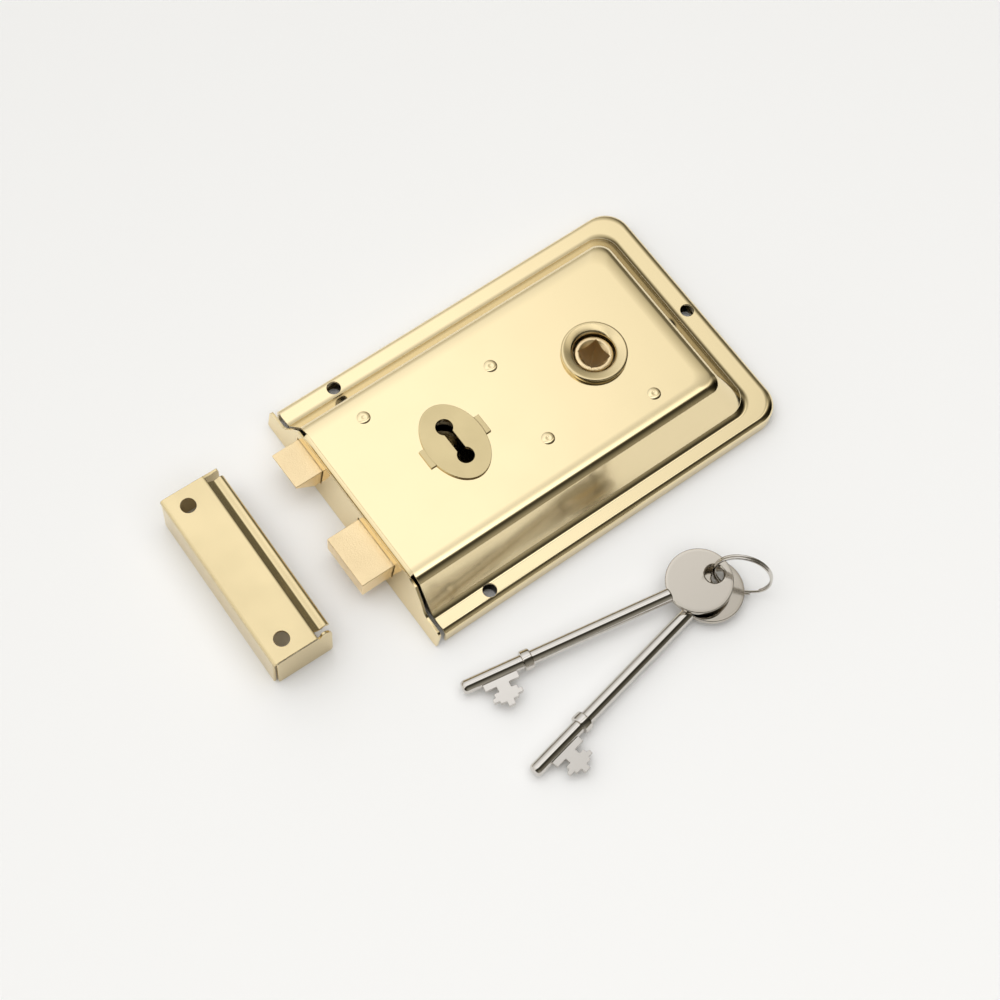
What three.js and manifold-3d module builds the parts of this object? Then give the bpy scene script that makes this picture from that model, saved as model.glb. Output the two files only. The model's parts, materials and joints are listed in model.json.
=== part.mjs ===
// Rim sash lock with its box keep and two keys on a split ring.
//
// Millimetres. +Z is the lock's face, away from the door; z = 0 is the door face that the back plate
// rests on. The bolts point to -X and the latch bolt is on the +Y side. The origin is the centre of
// the back plate's outer face.
import * as THREE from 'three';
import { mergeVertices } from 'three/addons/utils/BufferGeometryUtils.js';
import Module from 'manifold-3d';

const wasm = await Module();
wasm.setup();

// ---------------------------------------------------------------- driving dimensions
const LENGTH = 150; // case, forend to back edge
const WIDTH = 100; // case, across the flanges
const HEIGHT = 21; // door face to the case's flat face
const SHEET = 1; // pressed brass sheet
const GAP = 0.3; // clearance between pieces that are cut around each other

const FLANGE_TOP = 6.9;
const WALL_SLOPE = THREE.MathUtils.degToRad(57.7); // side walls, from the horizontal
const FACE_INSET = 18.6; // rim to the edge of the flat face
const SHOULDER_RADIUS = 4;
const FOOT_RADIUS = 3;
const RIM_RADIUS = 2.2;
const FLANGE_WIDTH = 6;
const REAR_FLANGE_EXTRA = 1.8; // the rear flange is this much wider than the side ones
const REAR_FACE_EXTRA = 2.4; // and the flat face stops this much earlier at the rear
const RIM_CORNER = 9.5; // plan radius of the rear corners at the rim
const FACE_CORNER = 4.5; // the same at the flat face
const WALL_START = 3.9; // side walls and flanges start this far behind the forend
const CORNER_STEPS = 6;
const ARC_STEPS = 4;

const FOREND_LEAN = THREE.MathUtils.degToRad(7);
const FOREND_FOLD_RADIUS = 2;
const FOREND_HALF = 30.9; // half width of the fold that carries the forend
const EAR_HEIGHT = 9.2;

const KEY_X = 43; // keyhole and follower, behind the forend
const KEYHOLE_HALF_PITCH = 6.25;
const FOLLOWER_X = 102;
const SPINDLE_SQUARE = 8;
const LEG_SLOT_MIDDLE = 11.1; // slots for the escutcheon's legs, either side of the keyhole

const SCREW_HOLE_RADIUS = 2.45;
const SIDE_SCREW_X = 24.9;
const SIDE_SCREW_EDGE = 4.1; // side screws, in from the rim
const REAR_SCREW_EDGE = 4.5;

const PLATE_TOP = 1.2; // back plate, from z = 0
const PLATE_START = 5.2; // front edge, behind the forend
const TAIL_LOW = 9.3; // level of the bolt tails, half way up the case
const TAIL_HIGH = 12.3;
const BOLT_LOW = 6.8; // bolt heads
const BOLT_HIGH = 14.8;
const LEVER_THICK = 2;

const LATCH_TIP = -8.8;
const LATCH_LOW_Y = 18.8;
const LATCH_HIGH_Y = 33.4;
const LATCH_TRAVEL = 10.6;
const DEAD_TIP = -10.9;
const DEAD_LOW_Y = -23;
const DEAD_HIGH_Y = -2.4;
const DEAD_TRAVEL = 12.9;

const PILLAR_RADIUS = 2.5;
const PILLARS = {
  latch_pillar: [23, 25],
  spring_pillar: [69.8, 16.4],
  lever_pillar: [69.7, -16.8],
  rear_pillar: [109.7, -24],
};

const KEEP_LENGTH = 69.6;
const KEEP_PLATE_WIDTH = 16.4;
const KEEP_DEPTH = 22.4; // wall to the ends of its ears
const KEEP_HEIGHT = 18;
const KEEP_CORNER = [-50.6, -30.3]; // outer near corner, from the forend and the centre line
const KEEP_TURN = THREE.MathUtils.degToRad(-1);
const KEEP_LIP_END = 2.8; // the lip stops this far short of the end plates' outer faces
const KEEP_HOLE = { fromEdge: 7.2, fromEnd: 6.5, radius: 2.7 };

const SHANK_RADIUS = 2.5;
const SHANK_LENGTH = 77; // tip to bow
const COLLAR_RADIUS = 3.6;
const COLLAR_FROM_TIP = 21.7;
const COLLAR_LENGTH = 3.5;
const BOW_RADIUS = 11.6;
const BOW_THICK = 2.2;
const BOW_CENTRE = 87.8; // from the tip
const BOW_HOLE_OFFSET = 5.6;
const BOW_HOLE_RADIUS = 3.2;
const BIT_THICK = 2;
const BIT_CENTRE = 12.6; // from the tip

// ---------------------------------------------------------------- materials
function metal(color, roughness) {
  return new THREE.MeshStandardMaterial({ color, roughness, metalness: 1 });
}
const PRESSED_BRASS = metal(0xe8d6a2, 0.25);
const SATIN_BRASS = metal(0xd8c48c, 0.4);
const CAST_BRASS = metal(0xd9b878, 0.45);
const NICKEL = metal(0xb8b2aa, 0.2);
const STEEL = metal(0x8c8c8a, 0.4);
const SPRING_STEEL = metal(0x55575a, 0.35);

// ---------------------------------------------------------------- geometry helpers
function toSolid(geometry) {
  const bare = geometry.clone();
  bare.deleteAttribute('normal');
  bare.deleteAttribute('uv');
  const merged = mergeVertices(bare, 1e-4);
  const vertProperties = new Float32Array(merged.attributes.position.array);
  const corners = Array.from(merged.index.array);
  const triVerts = new Uint32Array(corners.filter((_, i) => isRealTriangle(corners, i - (i % 3))));
  return new wasm.Manifold(new wasm.Mesh({ numProp: 3, vertProperties, triVerts }));
}

function isRealTriangle(corners, first) {
  const [a, b, c] = corners.slice(first, first + 3);
  return a !== b && b !== c && c !== a;
}

function toGeometry(solid) {
  const mesh = solid.getMesh();
  const geometry = new THREE.BufferGeometry();
  geometry.setAttribute('position', new THREE.BufferAttribute(new Float32Array(mesh.vertProperties), 3));
  geometry.setIndex(new THREE.BufferAttribute(new Uint32Array(mesh.triVerts), 1));
  geometry.computeVertexNormals();
  return geometry;
}

function cut(body, ...tools) {
  return tools.reduce((left, tool) => left.subtract(toSolid(tool)), toSolid(body));
}

function join(first, ...others) {
  return others.reduce((whole, other) => whole.add(toSolid(other)), toSolid(first));
}

function piece(name, shape, material) {
  const geometry = shape.isBufferGeometry ? shape : toGeometry(shape);
  const mesh = new THREE.Mesh(geometry, material);
  mesh.name = name;
  return mesh;
}

function slab(outline, low, high, steps = 6) {
  const settings = { depth: high - low, bevelEnabled: false, curveSegments: steps };
  return new THREE.ExtrudeGeometry(outline, settings).translate(0, 0, low);
}

function polygon(points) {
  return new THREE.Shape(points.map(([x, y]) => new THREE.Vector2(x, y)));
}

function rectangle(x0, y0, x1, y1) {
  return polygon([[x0, y0], [x1, y0], [x1, y1], [x0, y1]]);
}

function disc(x, y, radius) {
  return new THREE.Shape().absarc(x, y, radius, 0, 2 * Math.PI, false);
}

function block(x0, y0, z0, x1, y1, z1) {
  return slab(rectangle(x0, y0, x1, y1), z0, z1);
}

function rod(x, y, radius, low, high, steps = 8) {
  return slab(disc(x, y, radius), low, high, steps);
}

function turned(profile, steps = 24) {
  const points = profile.map(([radius, z]) => new THREE.Vector2(radius, z));
  return new THREE.LatheGeometry(points, steps).rotateX(Math.PI / 2);
}

function dumbbell(x, radius, slotHalf) {
  const reach = Math.sqrt(radius * radius - slotHalf * slotHalf);
  const waist = KEYHOLE_HALF_PITCH - reach;
  const turn = Math.asin(slotHalf / radius);
  const shape = new THREE.Shape();
  shape.moveTo(x + slotHalf, -waist);
  shape.lineTo(x + slotHalf, waist);
  shape.absarc(x, KEYHOLE_HALF_PITCH, radius, turn - Math.PI / 2, 1.5 * Math.PI - turn, false);
  shape.lineTo(x - slotHalf, -waist);
  shape.absarc(x, -KEYHOLE_HALF_PITCH, radius, Math.PI / 2 + turn, 2.5 * Math.PI - turn, false);
  return shape;
}

// ---------------------------------------------------------------- case
// One side of the case as [distance in from the rim, height], on the surface that lies `inset`
// inside the outer one.
function caseSection(inset) {
  const slopeRun = 1 / Math.tan(WALL_SLOPE);
  const halfTurn = Math.tan(WALL_SLOPE / 2);
  const faceZ = HEIGHT - inset;
  const flangeZ = FLANGE_TOP - inset;
  const shoulderApex = FACE_INSET - SHOULDER_RADIUS * halfTurn;
  const slopeShift = inset / Math.sin(WALL_SLOPE);
  const wallAt = (z) => shoulderApex - (HEIGHT - z) * slopeRun + slopeShift;
  const shoulder = SHOULDER_RADIUS - inset;
  const foot = FOOT_RADIUS + inset;
  const rim = RIM_RADIUS - inset;
  const points = [[inset, 0]];
  for (let i = 0; i <= ARC_STEPS; i += 1) {
    const a = (Math.PI / 2) * (i / ARC_STEPS);
    points.push([inset + rim * (1 - Math.cos(a)), flangeZ - rim * (1 - Math.sin(a))]);
  }
  const footStart = wallAt(flangeZ) - foot * halfTurn;
  for (let i = 0; i <= ARC_STEPS; i += 1) {
    const a = WALL_SLOPE * (i / ARC_STEPS);
    points.push([footStart + foot * Math.sin(a), flangeZ + foot * (1 - Math.cos(a))]);
  }
  const shoulderEnd = wallAt(faceZ) + shoulder * halfTurn;
  for (let i = ARC_STEPS; i >= 0; i -= 1) {
    const a = WALL_SLOPE * (i / ARC_STEPS);
    points.push([shoulderEnd - shoulder * Math.sin(a), faceZ - shoulder * (1 - Math.cos(a))]);
  }
  return points;
}

// How much further in than at the sides the rear of the case is, at the level `inset` from the rim.
function rearExtra(inset) {
  if (inset < FLANGE_WIDTH) return (REAR_FLANGE_EXTRA * inset) / FLANGE_WIDTH;
  const share = (inset - FLANGE_WIDTH) / (FACE_INSET - FLANGE_WIDTH);
  return THREE.MathUtils.lerp(REAR_FLANGE_EXTRA, REAR_FACE_EXTRA, share);
}

// Plan outline of the case at one level: square at the front, rounded at the two rear corners.
function caseOutline(inset, front) {
  const share = Math.min(inset / FACE_INSET, 1);
  const radius = THREE.MathUtils.lerp(RIM_CORNER, FACE_CORNER, share);
  const side = WIDTH / 2 - inset;
  const back = LENGTH - inset - rearExtra(inset);
  const outline = [[front, -side]];
  for (let i = 0; i <= CORNER_STEPS; i += 1) {
    const a = (Math.PI / 2) * (i / CORNER_STEPS);
    outline.push([back - radius * (1 - Math.sin(a)), -side + radius * (1 - Math.cos(a))]);
  }
  const mirrored = outline.map(([x, y]) => [x, -y]).reverse();
  return outline.concat(mirrored);
}

function loft(rings) {
  const count = rings[0].length;
  const positions = rings.flat(2);
  const index = [];
  for (let level = 0; level + 1 < rings.length; level += 1) {
    for (let i = 0; i < count; i += 1) {
      const j = (i + 1) % count;
      const a = level * count + i;
      const b = level * count + j;
      index.push(a, b, b + count);
      index.push(a, b + count, a + count);
    }
  }
  const top = (rings.length - 1) * count;
  for (let i = 1; i + 1 < count; i += 1) {
    index.push(0, i + 1, i);
    index.push(top, top + i, top + i + 1);
  }
  const geometry = new THREE.BufferGeometry();
  geometry.setAttribute('position', new THREE.Float32BufferAttribute(positions, 3));
  geometry.setIndex(index);
  return geometry;
}

function caseBody(inset, front, floor) {
  const section = caseSection(inset);
  section[0][1] = floor;
  return loft(section.map(([d, z]) => caseOutline(d, front).map(([x, y]) => [x, y, z])));
}

// The fold between the flat face and the forend, as a strip across the lock.
function forendFold() {
  const apex = HEIGHT * Math.tan(FOREND_LEAN);
  const turn = Math.PI / 2 - FOREND_LEAN;
  const startX = apex + FOREND_FOLD_RADIUS * Math.tan(turn / 2);
  const centreZ = HEIGHT - FOREND_FOLD_RADIUS;
  const arc = (radius) => {
    const points = [];
    for (let i = 0; i <= ARC_STEPS; i += 1) {
      const a = turn * (i / ARC_STEPS);
      points.push([startX - radius * Math.sin(a), centreZ + radius * Math.cos(a)]);
    }
    return points;
  };
  const outer = arc(FOREND_FOLD_RADIUS);
  const inner = arc(FOREND_FOLD_RADIUS - SHEET);
  const drop = 2;
  const below = ([x, z]) => [x - drop * Math.tan(FOREND_LEAN), z - drop];
  const profile = [[startX + 3, HEIGHT], ...outer, below(outer.at(-1)), below(inner.at(-1))];
  profile.push(...inner.reverse(), [startX + 3, HEIGHT - SHEET]);
  const strip = slab(polygon(profile), -FOREND_HALF, FOREND_HALF);
  return strip.rotateX(Math.PI / 2);
}

// The forend with its two ears, folded down from the face.
function forendPlate() {
  const top = HEIGHT / Math.cos(FOREND_LEAN) - FOREND_FOLD_RADIUS;
  const edge = WIDTH / 2;
  const floor = SHEET * Math.tan(FOREND_LEAN); // keeps the inner bottom edge on the door face
  const half = [[edge, 0.6], [edge, EAR_HEIGHT - 1.4], [edge - 1.6, EAR_HEIGHT], [42.8, EAR_HEIGHT]];
  half.push([40.9, 10.2], [38.6, 13.6], [34.4, 18.2], [FOREND_HALF + 0.6, top - 0.6]);
  half.push([FOREND_HALF, top]);
  const left = half.map(([y, z]) => [-y, z]).reverse();
  const outline = polygon([...half, ...left, [-edge + 0.8, floor], [edge - 0.8, floor]]);
  const plate = slab(outline, 0, SHEET);
  const upright = new THREE.Matrix4().makeBasis(
    new THREE.Vector3(0, 1, 0),
    new THREE.Vector3(0, 0, 1),
    new THREE.Vector3(1, 0, 0),
  );
  return plate.applyMatrix4(upright).rotateY(FOREND_LEAN);
}

function boltOpening(low, high) {
  return block(-3, low - 0.4, BOLT_LOW - 0.4, 6, high + 0.4, BOLT_HIGH + 0.5);
}

function caseShell() {
  let shell = toSolid(caseBody(0, WALL_START, 0));
  shell = shell.subtract(toSolid(caseBody(SHEET, WALL_START - 2, -2)));
  shell = shell.add(toSolid(forendFold())).add(toSolid(forendPlate()));
  const tools = [
    boltOpening(LATCH_LOW_Y, LATCH_HIGH_Y),
    boltOpening(DEAD_LOW_Y, DEAD_HIGH_Y),
    slab(dumbbell(KEY_X, 3.7, 2.4), HEIGHT - 3, HEIGHT + 2),
    rod(FOLLOWER_X, 0, 9, HEIGHT - 3, HEIGHT + 2, 12),
    plateAt(KEY_X - LEG_SLOT_MIDDLE, 2, 3.5, HEIGHT - 3, HEIGHT + 2),
    plateAt(KEY_X + LEG_SLOT_MIDDLE, 2, 3.5, HEIGHT - 3, HEIGHT + 2),
    ...screwPlaces().map(([x, y]) => rod(x, y, SCREW_HOLE_RADIUS, 0.5, FLANGE_TOP + 2)),
    ...Object.values(PILLARS).map(([x, y]) => rod(x, y, 1.8, HEIGHT - 3, HEIGHT + 2, 5)),
  ];
  const open = tools.reduce((body, tool) => body.subtract(toSolid(tool)), shell);
  return piece('case_shell', open, PRESSED_BRASS);
}

function screwPlaces() {
  const side = WIDTH / 2 - SIDE_SCREW_EDGE;
  return [[SIDE_SCREW_X, side], [SIDE_SCREW_X, -side], [LENGTH - REAR_SCREW_EDGE, 0]];
}

function backPlate() {
  const inset = SHEET + GAP;
  const outline = polygon(caseOutline(inset, PLATE_START));
  const holes = [
    ...screwPlaces().map(([x, y]) => rod(x, y, SCREW_HOLE_RADIUS, -1, 3)),
    ...Object.values(PILLARS).map(([x, y]) => countersink(x, y)),
    slab(dumbbell(KEY_X, 3.3, 1.9), -1, 3),
    rod(FOLLOWER_X, 0, 6.4, -1, 3, 12),
  ];
  return piece('back_plate', cut(slab(outline, 0, PLATE_TOP), ...holes), STEEL);
}

function countersink(x, y) {
  const profile = [[0, -1], [3.5, -1], [3.5, 0.05], [1.8, PLATE_TOP - 0.1], [1.8, 3], [0, 3]];
  return turned(profile, 14).translate(x, y, 0);
}

// A turned post between the back plate and the face, riveted over into a low dome.
function pillar(name, [x, y]) {
  const low = PLATE_TOP;
  const under = HEIGHT - SHEET;
  const profile = [[0, 6.6], [1.6, 6.2], [1.6, low], [PILLAR_RADIUS, low], [PILLAR_RADIUS, under]];
  profile.push([1.45, under], [1.45, HEIGHT], [2.35, HEIGHT], [2.2, HEIGHT + 0.15]);
  profile.push([1.6, HEIGHT + 0.4], [0.8, HEIGHT + 0.54], [0, HEIGHT + 0.58]);
  return piece(name, turned(profile, 14).translate(x, y, 0), CAST_BRASS);
}

function plateScrew(name, [x, y]) {
  const profile = [[0, 0.15], [2.9, 0.15], [1.3, 1.35], [1.3, 5.6], [0, 6]];
  const slot = block(x - 4, y - 0.4, -1, x + 4, y + 0.4, 0.55);
  return piece(name, cut(turned(profile, 14).translate(x, y, 0), slot), STEEL);
}

// ---------------------------------------------------------------- face furniture
const ESCUTCHEON_HALF_WIDTH = 10.6;
const ESCUTCHEON_HALF_HEIGHT = 15.1;
const ESCUTCHEON_THICK = 0.8;
const LUG_START = 10;
const LUG_REACH = 12.4; // the lugs cover the slots that their legs go through
const LUG_HALF = 3.7;
const LEG_MIDDLE = 11.35;
const LEG_THICK = 0.9;
const LEG_HALF = 3.05;
const ON_FACE = HEIGHT + 0.05; // underside of what lies on the case

function plateAt(x, width, half, low, high) {
  return block(x - width / 2, -half, low, x + width / 2, half, high);
}

function escutcheon() {
  const high = ON_FACE + ESCUTCHEON_THICK;
  const oval = new THREE.Shape();
  oval.absellipse(KEY_X, 0, ESCUTCHEON_HALF_WIDTH, ESCUTCHEON_HALF_HEIGHT, 0, 2 * Math.PI, false, 0);
  oval.holes.push(dumbbell(KEY_X, 3, 1.65));
  const middle = (LUG_START + LUG_REACH) / 2;
  const legs = [-1, 1].flatMap((side) => [
    plateAt(KEY_X + side * middle, LUG_REACH - LUG_START, LUG_HALF, ON_FACE, high - 0.15),
    plateAt(KEY_X + side * LEG_MIDDLE, LEG_THICK, LEG_HALF, HEIGHT - 2.2, ON_FACE + 0.2),
  ]);
  return piece('escutcheon', join(slab(oval, ON_FACE, high, 14), ...legs), SATIN_BRASS);
}

function followerRing() {
  const face = ON_FACE;
  const profile = [[7.5, HEIGHT - 2], [8.7, HEIGHT - 2], [8.7, face], [11.4, face], [11.6, face + 0.3]];
  profile.push([11.6, face + 1.6], [11.1, face + 2], [10.5, face + 2], [8.3, face + 1.5]);
  profile.push([7.8, face + 1.2], [7.5, face + 0.6], [7.5, HEIGHT - 2]);
  return piece('follower_ring', turned(profile, 32).translate(FOLLOWER_X, 0, 0), SATIN_BRASS);
}

// ---------------------------------------------------------------- follower and latch
const ARM_REACH = 15.5;
const ARM_LEAN = THREE.MathUtils.degToRad(20); // arms lean to the forend at rest

function followerArm(side) {
  const arm = new THREE.Shape();
  arm.moveTo(-2.6, 5);
  arm.lineTo(2.6, 5);
  arm.lineTo(2.1, ARM_REACH);
  arm.absarc(0, ARM_REACH, 2.1, 0, Math.PI, false);
  arm.closePath();
  const geometry = slab(arm, TAIL_LOW, TAIL_HIGH, 4).rotateZ(ARM_LEAN);
  if (side < 0) geometry.rotateX(Math.PI).translate(0, 0, TAIL_LOW + TAIL_HIGH);
  return geometry;
}

function follower() {
  const profile = [[0, 0.3], [5.9, 0.3], [5.9, 8], [9, 8], [9, 13.6], [6.8, 13.6], [6.8, HEIGHT - 0.5]];
  profile.push([6.3, HEIGHT], [5.3, HEIGHT], [3.9, HEIGHT - 1.5], [0, HEIGHT - 1.5]);
  const half = SPINDLE_SQUARE / 2;
  const hub = join(turned(profile, 28), followerArm(1), followerArm(-1));
  const socket = toSolid(block(-half, -half, -1, half, half, HEIGHT + 1));
  const mesh = piece('follower', hub.subtract(socket), CAST_BRASS);
  mesh.position.x = FOLLOWER_X;
  return mesh;
}

function latchHead() {
  const back = 4;
  const nose = [[LATCH_TIP, BOLT_HIGH], [LATCH_TIP, BOLT_HIGH - 0.8], [-1.4, BOLT_LOW], [back, BOLT_LOW]];
  const side = polygon([...nose, [back, BOLT_HIGH]]);
  const body = slab(side, -LATCH_HIGH_Y, -LATCH_LOW_Y).rotateX(Math.PI / 2);
  return piece('latch_head', body, CAST_BRASS);
}

const LATCH_ROD_Y = 26;
const SPRING_START = 46;
const SPRING_END = 79.4;

function latchTail() {
  const start = 4.1;
  const notch = PILLARS.latch_pillar[0];
  const outline = polygon([
    [start, 21.8], [notch - LATCH_TRAVEL - 3, 21.8], [notch - LATCH_TRAVEL - 3, 28.2],
    [notch + 3, 28.2], [notch + 3, 21.8], [SPRING_START - 0.4, 21.8], [SPRING_START - 0.4, 31.4],
    [start, 31.4],
  ]);
  const plate = slab(outline, TAIL_LOW, TAIL_HIGH);
  const bar = block(SPRING_START - 1, LATCH_ROD_Y - 1.6, TAIL_LOW, 92, LATCH_ROD_Y + 1.6, TAIL_HIGH);
  const hook = FOLLOWER_X - Math.sin(ARM_LEAN) * ARM_REACH + 2.1 + 0.5;
  const yoke = polygon([
    [hook, 14.6], [hook + 1.6, 11.4], [hook + 4, 11.4], [hook + 4, 20.5], [114, 20.5], [114, -16],
    [hook + 4, -16], [hook + 4, -11.4], [hook + 1.6, -11.4], [hook, -14.6], [hook, -20.4],
    [119.5, -20.4], [119.5, 28], [90, 28], [90, 23.5], [hook, 20.5],
  ]);
  return piece('latch_tail', join(plate, bar, slab(yoke, TAIL_LOW, TAIL_HIGH)), STEEL);
}

// A round-wire coil spring along X around the latch tail's bar.
class Coil extends THREE.Curve {
  constructor(start, end, radius, turns) {
    super();
    Object.assign(this, { start, end, radius, turns });
  }

  getPoint(t, target = new THREE.Vector3()) {
    const angle = 2 * Math.PI * this.turns * t;
    const x = THREE.MathUtils.lerp(this.start, this.end, t);
    return target.set(x, this.radius * Math.cos(angle), this.radius * Math.sin(angle));
  }
}

function wire(curve, radius, steps) {
  const settings = { extrudePath: curve, steps, curveSegments: 3, bevelEnabled: false };
  return new THREE.ExtrudeGeometry(disc(0, 0, radius), settings);
}

function latchSpring() {
  const coil = new Coil(SPRING_START + 0.6, SPRING_END - 0.6, 3.2, 8);
  const geometry = wire(coil, 0.45, 80).translate(0, LATCH_ROD_Y, (TAIL_LOW + TAIL_HIGH) / 2);
  return piece('latch_spring', geometry, SPRING_STEEL);
}

// Bent bracket on the back plate: the latch tail's bar slides through it and the spring bears on it.
function latchGuide() {
  const wall = block(SPRING_END + 0.2, 20.5, PLATE_TOP + 0.05, SPRING_END + 1.7, 31, 17);
  const foot = block(SPRING_END + 0.2, 20.5, PLATE_TOP + 0.05, SPRING_END + 8.5, 31, PLATE_TOP + 1.4);
  const bar = LATCH_ROD_Y - 1.6 - GAP;
  const hole = block(70, bar, TAIL_LOW - GAP, 90, LATCH_ROD_Y + 1.6 + GAP, TAIL_HIGH + GAP);
  return piece('latch_guide', join(wall, foot).subtract(toSolid(hole)), STEEL);
}

// ---------------------------------------------------------------- dead bolt and levers
const STUMP = [13, 6];

function deadBoltHead() {
  const body = block(DEAD_TIP, DEAD_LOW_Y, BOLT_LOW, 3, DEAD_HIGH_Y, BOLT_HIGH);
  return piece('dead_bolt_head', body, CAST_BRASS);
}

// Forked tail: each prong has a talon notch for the key turned from that side's keyhole.
function deadBoltTail() {
  const root = 17;
  const end = 53.8;
  const inner = 15;
  const outer = 21.4;
  const talon = KEY_X - DEAD_TRAVEL / 2;
  const talonHalf = 4.6;
  const floor = 19.3;
  const prong = (side) => [
    [root, side * inner], [talon - talonHalf, side * inner], [talon - talonHalf + 1.2, side * floor],
    [talon + talonHalf - 1.2, side * floor], [talon + talonHalf, side * inner], [end, side * inner],
    [end, side * outer],
  ];
  const shoulder = [[root, outer], [root, LATCH_LOW_Y - 0.6], [3.1, LATCH_LOW_Y - 0.6]];
  const outline = [[3.1, -outer], ...prong(-1).reverse(), ...prong(1), ...shoulder];
  const plate = slab(polygon(outline), TAIL_LOW, TAIL_HIGH);
  const hole = rod(STUMP[0], STUMP[1], 1.8, TAIL_LOW - 1, TAIL_HIGH + 1);
  return piece('dead_bolt_tail', cut(plate, hole), STEEL);
}

function boltStump() {
  const reach = LEVER_THICK + 0.4;
  const profile = [[0, TAIL_LOW - reach], [2, TAIL_LOW - reach], [2, TAIL_LOW - 0.05]];
  profile.push([1.5, TAIL_LOW - 0.05], [1.5, TAIL_HIGH + 0.05], [2, TAIL_HIGH + 0.05]);
  profile.push([2, TAIL_HIGH + reach], [0, TAIL_HIGH + reach]);
  return piece('bolt_stump', turned(profile, 14).translate(...STUMP, 0), STEEL);
}

// Lever: a frame round both key paths, pivoted on the lever pillar, with a gate for the stump.
function lever(name, low) {
  const outline = polygon([
    [69.7, -22], [74.2, -19.5], [74.2, -14.2], [62.4, -8], [62.4, 18.4], [24.4, 18.4], [24.4, 13.4],
    [7.6, 13.4], [7.6, -1.8], [24.4, -1.8], [24.4, -19.6], [62, -22],
  ]);
  outline.holes.push(polygon([
    [29.9, -14.6], [34, -15.4], [52, -15.4], [56.4, -14.6], [56.4, 13.6], [52, 14.2], [34, 14.2],
    [29.9, 13.6],
  ]));
  outline.holes.push(polygon([
    [10.2, 2.9], [16.4, 2.9], [16.4, 1.5], [22.4, 1.5], [22.4, 0.4], [28.6, 0.4], [28.6, 6.9],
    [22.4, 6.9], [22.4, 8.3], [16.4, 8.3], [16.4, 11.4], [10.2, 11.4],
  ]));
  outline.holes.push(disc(...PILLARS.lever_pillar, PILLAR_RADIUS + GAP));
  return piece(name, slab(outline, low, low + LEVER_THICK, 6), STEEL);
}

// Thin bent leaf that presses its lever down from the spring pillar.
function leverSpring(name, low) {
  const leaf = polygon([
    [62.6, 9], [63.1, 9], [63.4, 13], [65.6, 16.2], [65.6, 19.4], [65.1, 19.4], [65.1, 16.4],
    [62.9, 13.1],
  ]);
  return piece(name, slab(leaf, low + 0.2, low + LEVER_THICK - 0.2), SPRING_STEEL);
}

// Ward: a seat with the keyhole in it and two curved walls that only a slotted bit can pass.
function ward(name, low, high, seatLow) {
  const seat = new THREE.Shape().absellipse(KEY_X, 0, 8.4, 14, 0, 2 * Math.PI, false, 0);
  seat.holes.push(dumbbell(KEY_X, 3.5, 2.2));
  const walls = [-1, 1].map((side) => {
    const centre = side * KEYHOLE_HALF_PITCH;
    const wall = new THREE.Shape();
    const from = side > 0 ? 0 : Math.PI;
    wall.absarc(KEY_X, centre, 6.5, from, from + Math.PI, false);
    wall.absarc(KEY_X, centre, 5.3, from + Math.PI, from, true);
    wall.closePath();
    return slab(wall, low, high, 8);
  });
  return piece(name, join(slab(seat, seatLow, seatLow + 0.8, 9), ...walls), SATIN_BRASS);
}

// ---------------------------------------------------------------- keep
// Cross-section of the keep's plate and rolled lip, outer line then inner line.
function keepSection() {
  const w = KEEP_PLATE_WIDTH;
  const outer = [[0, 0], [0, -1.2], [0.4, -0.35], [1.2, 0], [w, 0], [w + 0.6, -0.15], [w + 2.6, -1.4]];
  outer.push([w + 3.1, -1.55], [w + 3.7, -1.35], [w + 4.6, -0.95], [w + 5.4, -0.9], [w + 6.2, -1.3]);
  outer.push([w + 6.8, -2.6]);
  const inner = [[w + 5.8, -2.7], [w + 5.5, -2.1], [w + 5.1, -1.9], [w + 4.8, -1.95], [w + 4, -2.35]];
  inner.push([w + 3.1, -2.6], [w + 2.2, -2.4], [w + 0.2, -1.15], [w - 0.3, -SHEET], [1.3, -SHEET]);
  inner.push([SHEET, -1.3]);
  const lift = ([x, z]) => [x, z + KEEP_HEIGHT];
  return polygon([[0, 0], ...outer.slice(1).map(lift), ...inner.map(lift), [SHEET, 0]]);
}

// End plate: the near one dips beside the lip and has a rounded corner, the far one is straight.
function keepEnd(side) {
  const w = KEEP_PLATE_WIDTH;
  const top = KEEP_HEIGHT - 0.1;
  const nearTop = [[KEEP_DEPTH, top - 3.2], [KEEP_DEPTH - 0.9, top - 1.2], [KEEP_DEPTH - 2.2, top]];
  nearTop.push([KEEP_DEPTH - 3.6, top], [w + 1.4, top - 2.6], [w + 0.4, top]);
  const farTop = [[KEEP_DEPTH, top - 1.4], [KEEP_DEPTH - 0.3, top]];
  const outline = polygon([[1.3, 0], [KEEP_DEPTH, 0], ...(side > 0 ? farTop : nearTop), [1.3, top]]);
  const inner = side * (KEEP_LENGTH / 2 - SHEET);
  const outer = side * (KEEP_LENGTH / 2);
  return slab(outline, Math.min(-inner, -outer), Math.max(-inner, -outer)).rotateX(Math.PI / 2);
}

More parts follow.
